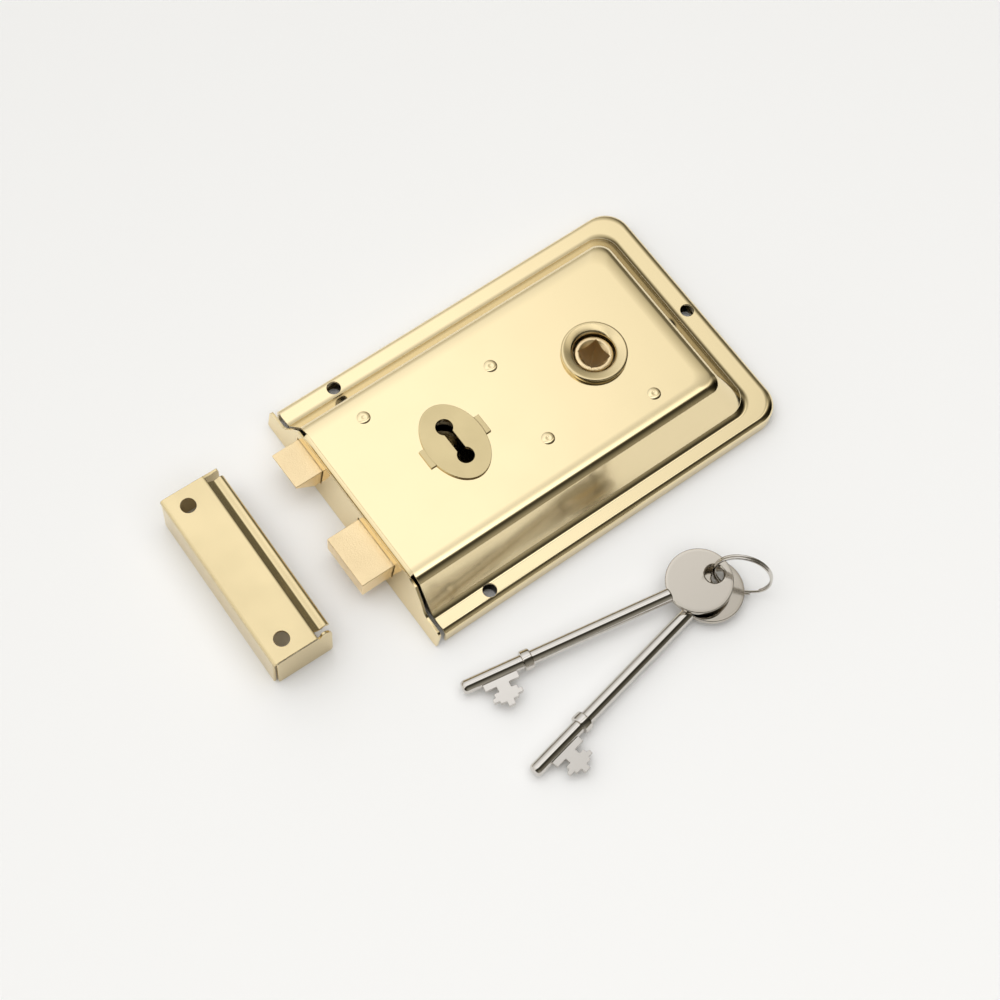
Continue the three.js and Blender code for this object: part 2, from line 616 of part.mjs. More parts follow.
function keepBox() {
  const half = KEEP_LENGTH / 2;
  const strip = slab(keepSection(), -half, half).rotateX(Math.PI / 2);
  const lipCut = (side) => {
    const from = side > 0 ? half - KEEP_LIP_END : -half - 1;
    const to = from + KEEP_LIP_END + 1;
    return block(KEEP_PLATE_WIDTH + 0.6, from, 5, KEEP_DEPTH + 4, to, KEEP_HEIGHT + 2);
  };
  const seam = (side) => {
    const from = side > 0 ? half - SHEET - 0.1 : -half - 1;
    return block(-1, from, -1, 1.25, from + SHEET + 1.1, KEEP_HEIGHT - 1.3);
  };
  let keep = toSolid(strip).subtract(toSolid(lipCut(1))).subtract(toSolid(lipCut(-1)));
  keep = keep.subtract(toSolid(seam(1))).subtract(toSolid(seam(-1)));
  keep = keep.add(toSolid(keepEnd(1))).add(toSolid(keepEnd(-1)));
  const holeY = half - KEEP_HOLE.fromEnd;
  const hole = (y) => rod(KEEP_HOLE.fromEdge, y, KEEP_HOLE.radius, 10, KEEP_HEIGHT + 2);
  const holes = [hole(holeY), hole(-holeY)];
  const open = holes.reduce((body, tool) => body.subtract(toSolid(tool)), keep);
  const mesh = piece('keep_box', open, SATIN_BRASS);
  mesh.position.set(KEEP_CORNER[0], KEEP_CORNER[1], 0);
  mesh.rotation.z = KEEP_TURN;
  mesh.geometry.translate(0, half, 0);
  return mesh;
}

// ---------------------------------------------------------------- keys
function keyShank(name) {
  const r = SHANK_RADIUS;
  const c = COLLAR_FROM_TIP;
  const profile = [[0, 0], [r - 1, 0], [r - 0.3, 0.5], [r, 1.4], [r, c], [COLLAR_RADIUS - 0.4, c]];
  profile.push([COLLAR_RADIUS, c + 0.5], [COLLAR_RADIUS, c + COLLAR_LENGTH - 0.5]);
  profile.push([COLLAR_RADIUS - 0.4, c + COLLAR_LENGTH], [r, c + COLLAR_LENGTH], [r, SHANK_LENGTH - 0.8]);
  profile.push([r - 0.8, SHANK_LENGTH], [0, SHANK_LENGTH]);
  const shank = turned(profile, 16).rotateY(Math.PI / 2);
  const bitSlot = block(BIT_CENTRE - 6.5, -r - 1, -BIT_THICK / 2 - 0.1, BIT_CENTRE + 6.5, -1.5, 1.1);
  return piece(name, cut(shank, bitSlot), NICKEL);
}

// The bit: two flaps at the shank, a neck between the ward cuts, and a stepped head with a prong.
function keyBit(name) {
  const half = [[6.2, 1.8], [6.2, 4.6], [2.2, 4.6], [2.2, 6.5], [4.1, 6.5], [4.1, 7.9], [5.3, 7.9]];
  half.push([5.3, 9.5], [3.3, 9.5], [3.3, 10.5], [1.2, 10.5], [1.2, 12.3]);
  const right = half.map(([s, r]) => [BIT_CENTRE + s, -r]);
  const left = half.map(([s, r]) => [BIT_CENTRE - s, -r]).reverse();
  return piece(name, slab(polygon([...right, ...left]), -BIT_THICK / 2, BIT_THICK / 2), NICKEL);
}

function keyBow(name) {
  const bow = disc(BOW_CENTRE, 0, BOW_RADIUS);
  bow.holes.push(disc(BOW_CENTRE + BOW_HOLE_OFFSET, 0, BOW_HOLE_RADIUS));
  const plate = slab(bow, -BOW_THICK / 2, BOW_THICK / 2, 14);
  const socket = block(SHANK_LENGTH - 1, -2.9, -2.9, SHANK_LENGTH + GAP, 2.9, 2.9);
  return piece(name, cut(plate, socket), NICKEL);
}

function key(number, tip, heading, rise) {
  const group = new THREE.Group();
  group.add(keyShank(`key_${number}_shank`), keyBit(`key_${number}_bit`), keyBow(`key_${number}_bow`));
  group.position.set(...tip);
  group.rotation.set(0, -THREE.MathUtils.degToRad(rise), THREE.MathUtils.degToRad(heading), 'ZYX');
  return group;
}

const RING_RADIUS = 9.7;
const RING_CENTRE = [96.5, -91.4, 11.1];
const RING_AXIS = [-0.761, -0.61, 0.222];

function keyRing() {
  const r = RING_RADIUS;
  const profile = [[r - 0.6, -0.7], [r - 0.3, -1], [r + 0.3, -1], [r + 0.6, -0.7], [r + 0.6, 0.7]];
  profile.push([r + 0.3, 1], [r - 0.3, 1], [r - 0.6, 0.7], [r - 0.6, -0.7]);
  const mesh = piece('key_ring', turned(profile, 36), NICKEL);
  mesh.position.set(...RING_CENTRE);
  const axis = new THREE.Vector3(...RING_AXIS).normalize();
  mesh.quaternion.setFromUnitVectors(new THREE.Vector3(0, 0, 1), axis);
  return mesh;
}

// ---------------------------------------------------------------- assembly
const lock = new THREE.Group();
lock.position.x = -LENGTH / 2;
lock.add(caseShell(), backPlate());
Object.entries(PILLARS).forEach(([name, place], i) => {
  lock.add(pillar(name, place), plateScrew(`plate_screw_${i + 1}`, place));
});
lock.add(escutcheon(), followerRing(), follower());
lock.add(latchHead(), latchTail(), latchSpring(), latchGuide());
lock.add(deadBoltHead(), deadBoltTail(), boltStump());
lock.add(lever('lever_front', TAIL_HIGH + 0.4), lever('lever_rear', TAIL_LOW - 0.4 - LEVER_THICK));
lock.add(leverSpring('lever_spring_front', TAIL_HIGH + 0.4));
lock.add(leverSpring('lever_spring_rear', TAIL_LOW - 0.4 - LEVER_THICK));
lock.add(ward('ward_front', 13.2, HEIGHT - SHEET - 0.3, HEIGHT - SHEET - 0.85));
lock.add(ward('ward_rear', PLATE_TOP + 0.3, 8, PLATE_TOP + 0.05));
lock.add(keepBox());
lock.add(key(1, [-2.3, -67.9, 4], -10.8, 3.2), key(2, [0, -104.4, 4], 10.7, 0.4), keyRing());

const model = new THREE.Group();
model.add(lock);
export default model;
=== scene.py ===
"""Rim sash lock in pressed brass, with its box keep and two bow keys on a split ring.

Shapes are worked out in millimetres, in the lock's own frame: x runs back from the forend, y from the
centre line towards the latch bolt, z from the door face. `add` turns them into metres in the row frame.
"""
import json
import math
import bmesh
import bpy
from mathutils import Matrix, Vector


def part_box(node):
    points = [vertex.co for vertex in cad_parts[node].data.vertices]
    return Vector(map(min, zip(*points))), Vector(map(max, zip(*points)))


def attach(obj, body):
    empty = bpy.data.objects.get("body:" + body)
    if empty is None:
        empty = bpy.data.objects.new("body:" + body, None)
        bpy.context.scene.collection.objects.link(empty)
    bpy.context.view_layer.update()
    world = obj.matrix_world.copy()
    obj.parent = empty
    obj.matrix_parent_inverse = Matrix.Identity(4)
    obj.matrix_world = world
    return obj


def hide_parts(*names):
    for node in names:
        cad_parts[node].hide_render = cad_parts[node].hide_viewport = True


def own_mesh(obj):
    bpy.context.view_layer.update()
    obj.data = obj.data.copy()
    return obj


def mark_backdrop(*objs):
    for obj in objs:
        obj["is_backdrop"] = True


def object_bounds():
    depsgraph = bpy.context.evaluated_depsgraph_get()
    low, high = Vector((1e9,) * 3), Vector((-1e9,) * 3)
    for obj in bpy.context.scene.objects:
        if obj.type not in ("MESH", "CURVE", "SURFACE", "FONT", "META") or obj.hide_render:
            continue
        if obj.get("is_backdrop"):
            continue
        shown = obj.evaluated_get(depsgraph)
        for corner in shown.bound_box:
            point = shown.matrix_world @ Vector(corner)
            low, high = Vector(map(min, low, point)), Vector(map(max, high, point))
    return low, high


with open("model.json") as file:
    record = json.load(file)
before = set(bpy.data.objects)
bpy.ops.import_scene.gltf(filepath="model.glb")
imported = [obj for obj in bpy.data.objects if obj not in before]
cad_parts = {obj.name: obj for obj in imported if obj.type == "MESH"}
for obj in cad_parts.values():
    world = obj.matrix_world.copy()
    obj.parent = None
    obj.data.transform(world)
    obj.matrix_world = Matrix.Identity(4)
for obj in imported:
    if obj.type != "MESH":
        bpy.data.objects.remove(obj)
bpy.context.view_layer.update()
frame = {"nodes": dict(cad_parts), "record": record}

MM = 0.001
CASE_LOW, CASE_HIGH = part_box("case_shell")
FRONT = CASE_LOW[0]
LENGTH = (CASE_HIGH[0] - CASE_LOW[0]) / MM
WIDTH = (CASE_HIGH[1] - CASE_LOW[1]) / MM
HEIGHT = CASE_HIGH[2] / MM
TO_ROW = Matrix.Translation((FRONT, 0, 0)) @ Matrix.Scale(MM, 4)


def centre_of(node):
    """Middle of a CAD node's box, in millimetres in the lock's frame."""
    low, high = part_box(node)
    return ((low[0] + high[0]) / 2 - FRONT) / MM, (low[1] + high[1]) / 2 / MM, (low[2] + high[2]) / 2 / MM


# ---------------------------------------------------------------- dimensions, as in the CAD source
SHEET = 1.0
FLANGE_TOP = 6.9
WALL_SLOPE = math.radians(57.7)
FACE_INSET = 18.6
SHOULDER_RADIUS = 4.0
FOOT_RADIUS = 3.0
RIM_RADIUS = 2.2
FLANGE_WIDTH, REAR_FLANGE_EXTRA, REAR_FACE_EXTRA = 6.0, 1.8, 2.4
RIM_CORNER = 9.5
FACE_CORNER = 4.5
WALL_START = 3.9
FOREND_LEAN = math.radians(7)
FOLD_RADIUS = 2.0
FOREND_HALF = 30.9
EAR_HEIGHT = 9.2
KEY_X = 43.0
KEYHOLE_HALF_PITCH = 6.25
FOLLOWER_X = 102.0
SCREW_HOLE_RADIUS = 2.45
SCREWS = [(24.9, WIDTH / 2 - 4.1), (24.9, -WIDTH / 2 + 4.1), (LENGTH - 4.5, 0)]
BOLT_LOW, BOLT_HIGH = 6.8, 14.8
LATCH_TIP, LATCH_LOW_Y, LATCH_HIGH_Y = -8.8, 18.8, 33.4
DEAD_TIP, DEAD_LOW_Y, DEAD_HIGH_Y = -10.9, -23.0, -2.4
TAIL_LOW, TAIL_HIGH = 9.3, 12.3
PLATE_START = 5.2
PILLARS = ["latch_pillar", "spring_pillar", "lever_pillar", "rear_pillar"]
KEEP_LENGTH = 69.6
KEEP_PLATE_WIDTH = 16.4
KEEP_DEPTH = 22.4
KEEP_HEIGHT = 18.0
KEEP_PLACE = Matrix.Translation((-50.6, -30.3, 0)) @ Matrix.Rotation(math.radians(-1), 4, "Z")
SHANK_RADIUS = 2.5
SHANK_LENGTH = 77.0
COLLAR_RADIUS = 3.6
COLLAR_START, COLLAR_END = 21.7, 25.2
BOW_RADIUS, BOW_THICK, BOW_CENTRE = 11.6, 2.2, 87.8
BOW_HOLE_OFFSET, BOW_HOLE_RADIUS = 5.6, 3.2
BIT_THICK, BIT_CENTRE = 2.0, 12.6
KEYS = {1: ((-2.3, -67.9, 4), -10.8, 3.2), 2: ((0, -104.4, 4), 10.7, 0.4)}
RING_RADIUS = 9.7
RING_CENTRE = (96.5, -91.4, 11.1)
RING_AXIS = (-0.761, -0.61, 0.222)


# ---------------------------------------------------------------- mesh helpers
def mesh_of(verts, faces):
    bm = bmesh.new()
    made = [bm.verts.new(v) for v in verts]
    for face in faces:
        bm.faces.new([made[i] for i in face])
    bmesh.ops.recalc_face_normals(bm, faces=bm.faces)
    mesh = bpy.data.meshes.new("part")
    bm.to_mesh(mesh)
    bm.free()
    return mesh


def boolean(base, tool, operation):
    """base with tool cut out of it or joined to it, as a new mesh."""
    body = bpy.data.objects.new("body", base)
    other = bpy.data.objects.new("tool", tool)
    for o in (body, other):
        bpy.context.collection.objects.link(o)
    step = body.modifiers.new("step", "BOOLEAN")
    step.operation = operation
    step.solver = "EXACT"
    step.object = other
    bpy.context.view_layer.update()
    seen = body.evaluated_get(bpy.context.evaluated_depsgraph_get())
    result = bpy.data.meshes.new_from_object(seen)
    bpy.data.objects.remove(body)
    bpy.data.objects.remove(other)
    return result


def cut(base, *tools):
    for tool in tools:
        base = boolean(base, tool, "DIFFERENCE")
    return base


def join(base, *others):
    for other in others:
        base = boolean(base, other, "UNION")
    return base


def together(*meshes):
    """Several meshes that don't touch, as one."""
    bm = bmesh.new()
    for mesh in meshes:
        bm.from_mesh(mesh)
    mesh = bpy.data.meshes.new("set")
    bm.to_mesh(mesh)
    bm.free()
    return mesh


def moved(mesh, matrix):
    mesh.transform(matrix)
    return mesh


def slab(outline, low, high):
    n = len(outline)
    verts = [(x, y, low) for x, y in outline] + [(x, y, high) for x, y in outline]
    faces = [tuple(range(n))[::-1], tuple(range(n, 2 * n))]
    faces += [(i, (i + 1) % n, (i + 1) % n + n, i + n) for i in range(n)]
    return mesh_of(verts, faces)


def rolled(outline, low, high):
    """A section in x and z, carried along y from low to high."""
    return moved(slab(outline, -high, -low), Matrix.Rotation(math.pi / 2, 4, "X"))


def block(x0, y0, z0, x1, y1, z1):
    return slab([(x0, y0), (x1, y0), (x1, y1), (x0, y1)], z0, z1)


def arc(x, y, radius, start, end, steps):
    angles = [start + (end - start) / steps * i for i in range(steps + 1)]
    return [(x + radius * math.cos(a), y + radius * math.sin(a)) for a in angles]


def circle(x, y, radius, steps=48):
    return arc(x, y, radius, 0, 2 * math.pi, steps)[:-1]


def rod(x, y, radius, low, high, steps=48):
    return slab(circle(x, y, radius, steps), low, high)


def turned(profile, steps=96):
    """A profile of (radius, z) turned about z. It starts and ends on the axis, or is a closed loop."""
    verts, rows = [], []
    for radius, z in profile:
        if radius == 0:
            rows.append([len(verts)] * steps)
            verts.append((0, 0, z))
        else:
            rows.append(list(range(len(verts), len(verts) + steps)))
            verts += [(x, y, z) for x, y in circle(0, 0, radius, steps)]
    pairs = list(zip(rows, rows[1:]))
    if profile[0][0] > 0:
        pairs.append((rows[-1], rows[0]))
    faces = []
    for a, b in pairs:
        for i in range(steps):
            j = (i + 1) % steps
            corners = list(dict.fromkeys((a[i], a[j], b[j], b[i])))
            if len(corners) > 2:
                faces.append(corners)
    return mesh_of(verts, faces)


def rounded(points, radius, steps=4):
    """A closed outline with each corner rounded, where its sides are long enough."""
    result = []
    n = len(points)
    for i, point in enumerate(points):
        p = Vector(point)
        a, b = Vector(points[i - 1]) - p, Vector(points[(i + 1) % n]) - p
        bend = math.pi - a.angle(b)
        reach = min(radius * math.tan(bend / 2), a.length * 0.45, b.length * 0.45)
        start, end = p + a.normalized() * reach, p + b.normalized() * reach
        for k in range(steps + 1):
            t = k / steps
            result.append(tuple(start * (1 - t) ** 2 + p * 2 * t * (1 - t) + end * t * t))
    return result


def dumbbell(x, radius, slot_half, steps=28):
    """A double-ended keyhole: two round ends joined by a slot."""
    turn = math.asin(slot_half / radius)
    upper = arc(x, KEYHOLE_HALF_PITCH, radius, turn - math.pi / 2, 1.5 * math.pi - turn, steps)
    lower = arc(x, -KEYHOLE_HALF_PITCH, radius, math.pi / 2 + turn, 2.5 * math.pi - turn, steps)
    return upper + lower


def coil_along(points, section):
    """A wire along points, with the same section carried along without twist."""
    count = len(points)
    before, after = points[:1] + points[:-1], points[1:] + points[-1:]
    tangents = [(b - a).normalized() for a, b in zip(before, after)]
    side = tangents[0].orthogonal().normalized()
    verts, faces = [], []
    n = len(section)
    for point, tangent in zip(points, tangents):
        side = (side - tangent * side.dot(tangent)).normalized()
        up = tangent.cross(side)
        verts += [tuple(point + side * u + up * v) for u, v in section]
    for i in range(count - 1):
        for j in range(n):
            k = (j + 1) % n
            faces.append((i * n + j, i * n + k, (i + 1) * n + k, (i + 1) * n + j))
    faces.append(tuple(range(n))[::-1])
    faces.append(tuple(range((count - 1) * n, count * n)))
    return mesh_of(verts, faces)


BEVEL_SEGMENTS = 3


def add(name, mesh, material, body, nodes, place=None, bevel=0.0, sharp=35):
    """A finished piece: in metres, on its body, in the place of its CAD nodes.

    It is smooth except at edges past `sharp` degrees. `bevel` is the width that those edges are rounded
    by, and without it they stay sharp.
    """
    mesh.transform(TO_ROW @ (place or Matrix.Identity(4)))
    mesh.name = name
    mesh.materials.clear()
    mesh.materials.append(MATERIALS[material])
    for polygon in mesh.polygons:
        polygon.use_smooth = True
    if not bevel:
        mesh.set_sharp_from_angle(angle=math.radians(sharp))
    obj = bpy.data.objects.new(name, mesh)
    bpy.context.collection.objects.link(obj)
    if bevel:
        edge = obj.modifiers.new("edges", "BEVEL")
        edge.width = bevel * MM
        edge.segments = BEVEL_SEGMENTS
        edge.limit_method = "ANGLE"
        edge.angle_limit = math.radians(sharp)
        edge.use_clamp_overlap = False
    flat = obj.modifiers.new("normals", "WEIGHTED_NORMAL")
    flat.keep_sharp = True
    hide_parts(*nodes)
    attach(obj, body)
    return obj


# ---------------------------------------------------------------- materials
WEAR_SCALE = 60.0  # patches of wear per metre, about
GRAIN_SCALE = 2600.0


def shader(name, color, roughness, grain=0.0, wear=0.0):
    """A metal. grain is the height of a fine bump in metres; wear is how far the roughness wanders."""
    material = bpy.data.materials.new(name)
    material.use_nodes = True
    tree = material.node_tree
    surface = tree.nodes["Principled BSDF"]
    surface.inputs["Base Color"].default_value = (*color, 1)
    surface.inputs["Metallic"].default_value = 1.0
    surface.inputs["Roughness"].default_value = roughness
    place = tree.nodes.new("ShaderNodeTexCoord")
    if wear:
        cloud = tree.nodes.new("ShaderNodeTexNoise")
        cloud.inputs["Scale"].default_value = WEAR_SCALE
        cloud.inputs["Detail"].default_value = 4
        spread = tree.nodes.new("ShaderNodeMapRange")
        spread.inputs["From Min"].default_value = 0.35
        spread.inputs["From Max"].default_value = 0.65
        spread.inputs["To Min"].default_value = roughness - wear
        spread.inputs["To Max"].default_value = roughness + wear
        tree.links.new(place.outputs["Object"], cloud.inputs["Vector"])
        tree.links.new(cloud.outputs["Fac"], spread.inputs["Value"])
        tree.links.new(spread.outputs["Result"], surface.inputs["Roughness"])
    if grain:
        sand = tree.nodes.new("ShaderNodeTexNoise")
        sand.inputs["Scale"].default_value = GRAIN_SCALE
        sand.inputs["Detail"].default_value = 3
        bump = tree.nodes.new("ShaderNodeBump")
        bump.inputs["Distance"].default_value = grain
        tree.links.new(place.outputs["Object"], sand.inputs["Vector"])
        tree.links.new(sand.outputs["Fac"], bump.inputs["Height"])
        tree.links.new(bump.outputs["Normal"], surface.inputs["Normal"])
    return material


MATERIALS = {
    # The four visible finishes, then the two inside the case.
    "pressed_brass": shader("pressed_brass", (0.88, 0.74, 0.46), 0.12, wear=0.02),
    "satin_brass": shader("satin_brass", (0.74, 0.61, 0.36), 0.22, wear=0.05),
    "cast_brass": shader("cast_brass", (0.98, 0.785, 0.48), 0.34, grain=0.00012, wear=0.04),
    # Lighter than the copy that the bows get further down: painted highlight, for the white gleam on the
    # shanks and bits.
    "nickel": shader("nickel", (0.64, 0.61, 0.57), 0.09, wear=0.03),
    "steel": shader("steel", (0.56, 0.56, 0.55), 0.36, wear=0.06),
    "spring_steel": shader("spring_steel", (0.30, 0.31, 0.33), 0.3),
}
for part in frame["record"]["subparts"]:
    slots = frame["nodes"][part["node"]].data.materials
    slots.clear()
    slots.append(MATERIALS[part["material_slot"]])


# ---------------------------------------------------------------- case
ARC_STEPS = 10
CORNER_STEPS = 24
CROWN_STEPS = 6
CROWN_RADIUS = 25.0  # the flat face falls away gently before its shoulders
CROWN_TURN = math.radians(9)


def case_section(inset):
    """One side of the case as (distance in from the rim, height), `inset` inside the outer surface."""
    slope_run = 1 / math.tan(WALL_SLOPE)
    half_turn = math.tan(WALL_SLOPE / 2)
    face_z, flange_z = HEIGHT - inset, FLANGE_TOP - inset
    apex = FACE_INSET - SHOULDER_RADIUS * half_turn

    def wall_at(z):
        return apex - (HEIGHT - z) * slope_run + inset / math.sin(WALL_SLOPE)

    shoulder, foot, rim = SHOULDER_RADIUS - inset, FOOT_RADIUS + inset, RIM_RADIUS - inset
    points = [(inset, 0)]
    for i in range(ARC_STEPS + 1):
        a = math.pi / 2 * i / ARC_STEPS
        points.append((inset + rim * (1 - math.cos(a)), flange_z - rim * (1 - math.sin(a))))
    start = wall_at(flange_z) - foot * half_turn
    for i in range(ARC_STEPS + 1):
        a = WALL_SLOPE * i / ARC_STEPS
        points.append((start + foot * math.sin(a), flange_z + foot * (1 - math.cos(a))))
    crown = CROWN_RADIUS - inset
    top = face_z - (crown - shoulder) * (1 - math.cos(CROWN_TURN))
    end = wall_at(top) + shoulder * half_turn
    for i in range(ARC_STEPS + 1):
        a = WALL_SLOPE + (CROWN_TURN - WALL_SLOPE) * i / ARC_STEPS
        points.append((end - shoulder * math.sin(a), top - shoulder * (1 - math.cos(a))))
    end += (crown - shoulder) * math.sin(CROWN_TURN)
    for i in range(1, CROWN_STEPS + 1):
        a = CROWN_TURN * (1 - i / CROWN_STEPS)
        points.append((end - crown * math.sin(a), face_z - crown * (1 - math.cos(a))))
    return points


def rear_extra(inset):
    """How much further in than at the sides the rear of the case is."""
    if inset < FLANGE_WIDTH:
        return REAR_FLANGE_EXTRA * inset / FLANGE_WIDTH
    share = (inset - FLANGE_WIDTH) / (FACE_INSET - FLANGE_WIDTH)
    return REAR_FLANGE_EXTRA + (REAR_FACE_EXTRA - REAR_FLANGE_EXTRA) * share


def case_outline(inset, front):
    """Plan of the case at one level: square in front, rounded at the two rear corners."""
    radius = RIM_CORNER + (FACE_CORNER - RIM_CORNER) * min(inset / FACE_INSET, 1)
    side, back = WIDTH / 2 - inset, LENGTH - inset - rear_extra(inset)
    outline = [(front, -side)]
    outline += arc(back - radius, -side + radius, radius, -math.pi / 2, 0, CORNER_STEPS)
    return outline + [(x, -y) for x, y in reversed(outline)]


def loft(rings):
    """A solid through rings that have equally many points."""
    n = len(rings[0])
    verts = [v for ring in rings for v in ring]
    faces = []
    for level in range(len(rings) - 1):
        a = level * n
        faces += [(a + i, a + (i + 1) % n, a + n + (i + 1) % n, a + n + i) for i in range(n)]
    faces.append(tuple(range(n))[::-1])
    faces.append(tuple(range(len(verts) - n, len(verts))))
    return mesh_of(verts, faces)


def case_body(inset, front, floor):
    """The case as a solid block, `inset` inside its outer surface: the sheet is one less the other."""
    section = case_section(inset)
    section[0] = (inset, floor)
    return loft([[(x, y, z) for x, y in case_outline(d, front)] for d, z in section])


FOLD_OVERLAP = 0.8  # how far the folded strip runs into the face
FOLD_TUCK = 0.02  # keeps the strip inside the sheet there
FOLD_DROP = 2.0  # how far it runs down inside the forend


def forend_fold():
    """The strip that rolls over from the face into the leaning forend. It follows the crown of the face."""
    apex = HEIGHT * math.tan(FOREND_LEAN)
    turn = math.pi / 2 - FOREND_LEAN
    start = apex + FOLD_RADIUS * math.tan(turn / 2)

    def bend(radius):
        centre_z = HEIGHT - FOLD_RADIUS
        angles = [turn * i / ARC_STEPS for i in range(ARC_STEPS + 1)]
        return [(start - radius * math.sin(a), centre_z + radius * math.cos(a)) for a in angles]

    outer, inner = bend(FOLD_RADIUS - FOLD_TUCK), bend(FOLD_RADIUS - SHEET + FOLD_TUCK)
    below = [(x - FOLD_DROP * math.tan(FOREND_LEAN), z - FOLD_DROP) for x, z in (outer[-1], inner[-1])]
    root = start + FOLD_OVERLAP
    upper, lower = (root, HEIGHT - FOLD_TUCK), (root, HEIGHT - SHEET + FOLD_TUCK)
    profile = [upper, *outer, *below, *reversed(inner), lower]
    flat_start = case_section(0)[-1][0]

    def drop_at(y):
        short = max(flat_start - (WIDTH / 2 - abs(y)), 0)
        return CROWN_RADIUS - math.sqrt(CROWN_RADIUS**2 - short**2)

    flat_half = WIDTH / 2 - flat_start
    half = [flat_half + (FOREND_HALF - flat_half) * i / CROWN_STEPS for i in range(CROWN_STEPS + 1)]
    stations = [-y for y in reversed(half)] + half
    return loft([[(x, y, z - drop_at(y)) for x, z in profile] for y in stations])


def forend_plate():
    """The forend: an upright sheet, leaning back, with an ear on each side at the flange."""
    top = HEIGHT / math.cos(FOREND_LEAN) - FOLD_RADIUS
    edge = WIDTH / 2
    floor = SHEET * math.tan(FOREND_LEAN)
    half = [(edge, 0.6), (edge, EAR_HEIGHT - 1.4), (edge - 0.5, EAR_HEIGHT - 0.45), (edge - 1.6, EAR_HEIGHT)]
    half += [(42.8, EAR_HEIGHT), (40.9, 10.2), (38.6, 13.6), (34.4, 18.2), (FOREND_HALF + 0.6, top - 0.6)]
    half.append((FOREND_HALF, top))
    outline = half + [(-y, z) for y, z in reversed(half)] + [(-edge + 0.8, floor), (edge - 0.8, floor)]
    plate = slab(outline, 0, SHEET)
    upright = Matrix(((0, 0, 1, 0), (1, 0, 0, 0), (0, 1, 0, 0), (0, 0, 0, 1)))
    return moved(plate, Matrix.Rotation(FOREND_LEAN, 4, "Y") @ upright)


BOLT_SLOT_SIDE, BOLT_SLOT_ABOVE = 0.4, 0.5
CASE_KEYHOLE = (3.7, 2.4)  # radius of the round ends, half width of the slot
FOLLOWER_HOLE_RADIUS = 9
LUG_SLOT_START, LUG_SLOT_END, LUG_SLOT_HALF = 10.1, 12.1, 3.5
PILLAR_HOLE_RADIUS = 1.8


def bolt_slot(low_y, high_y):
    """The forend's opening for a bolt, a little larger than it."""
    low, high = BOLT_LOW - BOLT_SLOT_SIDE, BOLT_HIGH + BOLT_SLOT_ABOVE
    return block(-3, low_y - BOLT_SLOT_SIDE, low, 6, high_y + BOLT_SLOT_SIDE, high)


def case_shell():
    shell = cut(case_body(0, WALL_START, 0), case_body(SHEET, WALL_START - 2, -2))
    shell = join(shell, forend_fold(), forend_plate())
    top, under = HEIGHT + 2, HEIGHT - 3
    tools = [
        bolt_slot(LATCH_LOW_Y, LATCH_HIGH_Y),
        bolt_slot(DEAD_LOW_Y, DEAD_HIGH_Y),
        slab(dumbbell(KEY_X, *CASE_KEYHOLE), under, top),
        rod(FOLLOWER_X, 0, FOLLOWER_HOLE_RADIUS, under, top, 64),
        block(KEY_X - LUG_SLOT_END, -LUG_SLOT_HALF, under, KEY_X - LUG_SLOT_START, LUG_SLOT_HALF, top),
        block(KEY_X + LUG_SLOT_START, -LUG_SLOT_HALF, under, KEY_X + LUG_SLOT_END, LUG_SLOT_HALF, top),
    ]
    tools += [rod(x, y, SCREW_HOLE_RADIUS, 0.5, FLANGE_TOP + 2) for x, y in SCREWS]
    tools += [rod(*centre_of(name)[:2], PILLAR_HOLE_RADIUS, under, top, 32) for name in PILLARS]
    return cut(shell, together(*tools))


add("case", case_shell(), "pressed_brass", "case", ["case_shell"], bevel=0.12, sharp=38)

# ---------------------------------------------------------------- back plate, pillars and screws
PLATE_THICK = 1.2
PLATE_CLEARANCE = 0.3
PLATE_KEYHOLE = (3.3, 1.9)
PLATE_FOLLOWER_HOLE = 6.4
POST_FOOT = 1.2
POST_RADIUS = 2.4
POST_NECK = 1.45


def back_plate():
    """The plate that closes the case, sunk for the four screws in the pillars."""
    plate = slab(case_outline(SHEET + PLATE_CLEARANCE, PLATE_START), 0, PLATE_THICK)
    tools = [slab(dumbbell(KEY_X, *PLATE_KEYHOLE), -1, 3), rod(FOLLOWER_X, 0, PLATE_FOLLOWER_HOLE, -1, 3, 64)]
    tools += [rod(x, y, SCREW_HOLE_RADIUS, -1, 3) for x, y in SCREWS]
    sink = [(0, -1), (3.5, -1), (3.5, 0.05), (1.8, 1.1), (1.8, 3), (0, 3)]
    tools += [moved(turned(sink, 48), at_pillar(name)) for name in PILLARS]
    return cut(plate, together(*tools))


def at_pillar(name):
    x, y, _ = centre_of(name)
    return Matrix.Translation((x, y, 0))


def pillar_post():
    """A pillar, tapped at its foot. Its neck is riveted over the face as a low dome with a dimple."""
    under = HEIGHT - SHEET
    profile = [(0, 6.6), (1.6, 6.2), (1.6, POST_FOOT), (POST_RADIUS, POST_FOOT), (POST_RADIUS, under)]
    profile += [(POST_NECK, under), (POST_NECK, HEIGHT)]
    dome = [(2.35, 0.01), (2.25, 0.09), (2.05, 0.17), (1.7, 0.26), (1.3, 0.33)]
    dome += [(0.95, 0.34), (0.6, 0.29), (0.3, 0.25), (0, 0.24)]
    return turned(profile + [(radius, HEIGHT + rise) for radius, rise in dome], 64)


def plate_screw():
    outline = [(0, 0.15), (2.9, 0.15), (1.3, 1.35), (1.3, 5.6), (0, 6)]
    return cut(turned(outline, 64), block(-4, -0.4, -1, 4, 0.4, 0.55))


add("door_plate", back_plate(), "steel", "case", ["back_plate"], bevel=0.1)
for number, name in enumerate(PILLARS, 1):
    there = at_pillar(name)
    add(name + "_post", pillar_post(), "pressed_brass", "case", [name], there, sharp=50)
    add(f"plate_screw_{number}_fine", plate_screw(), "steel", "case", [f"plate_screw_{number}"], there)

